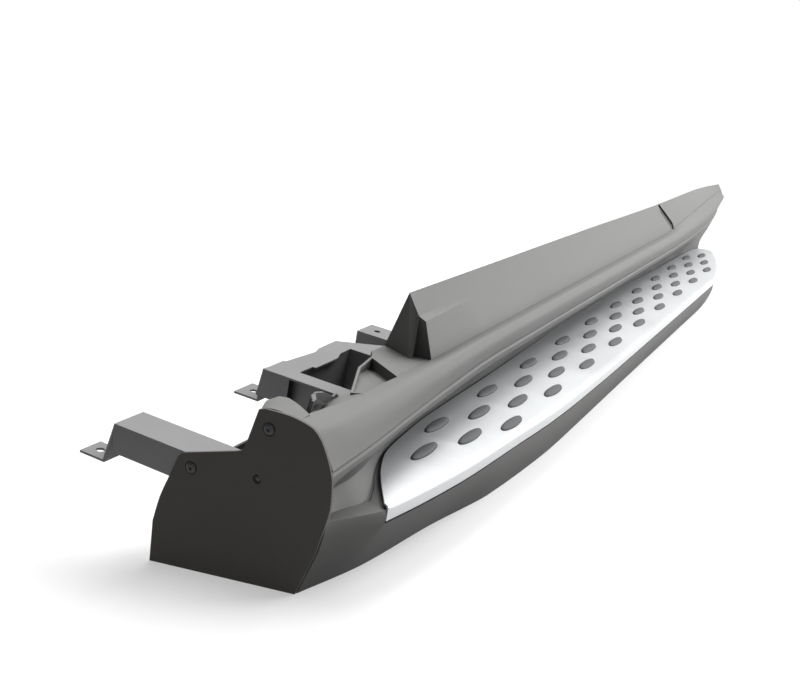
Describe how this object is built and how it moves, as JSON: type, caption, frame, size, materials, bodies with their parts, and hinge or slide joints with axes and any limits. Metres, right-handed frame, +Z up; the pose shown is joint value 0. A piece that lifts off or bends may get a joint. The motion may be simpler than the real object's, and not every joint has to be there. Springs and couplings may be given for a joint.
{
  "type": "running board",
  "caption": "Side step for a car: moulded plastic body with a tall sill ridge, aluminium tread plate over a rubber mat with oval grips, and folded steel brackets that bolt to the sill.",
  "frame": {"origin": "centre of the bounding box in plan, on the flat underside (z = 0)", "axes": "+X along the board from the end with the cut-out to the end with the tapering tip, +Y inboard towards the car, +Z up from the flat underside"},
  "size_m": [2.0594, 0.3504, 0.2306],
  "materials": {
    "body_plastic": "fine-grained matt dark grey moulded plastic",
    "cover_plastic": "matt black moulded plastic",
    "cap_plastic": "matt near-black moulded plastic",
    "screw_steel": "black coated steel",
    "insert_rubber": "matt black rubber",
    "plate_aluminium": "satin anodised silver",
    "mat_rubber": "matt grey-black rubber",
    "zinc_steel": "zinc-plated steel",
    "rail_steel": "satin black paint on steel",
    "bracket_steel": "satin grey-black paint on steel",
    "rivet_plastic": "black plastic"
  },
  "bodies": {
    "root": {"body_moulding": "body_plastic", "under_cover": "cover_plastic", "near_end_cap": "cap_plastic", "far_end_cap": "cap_plastic", "cap_screws": "screw_steel", "cap_pin": "screw_steel", "slot_insert": "insert_rubber", "tread_plate": "plate_aluminium", "tread_mat": "mat_rubber", "plate_studs": "zinc_steel", "plate_nuts": "zinc_steel", "support_rail": "rail_steel", "near_bracket": "bracket_steel", "jack_bracket": "bracket_steel", "third_bracket": "bracket_steel", "fourth_bracket": "bracket_steel", "far_bracket": "bracket_steel", "bracket_bolts": "zinc_steel", "bracket_washers": "zinc_steel", "bracket_nuts": "zinc_steel", "body_screws": "screw_steel", "deck_clip_nuts": "zinc_steel", "cover_rivets": "rivet_plastic"}
  },
  "joints": []
}
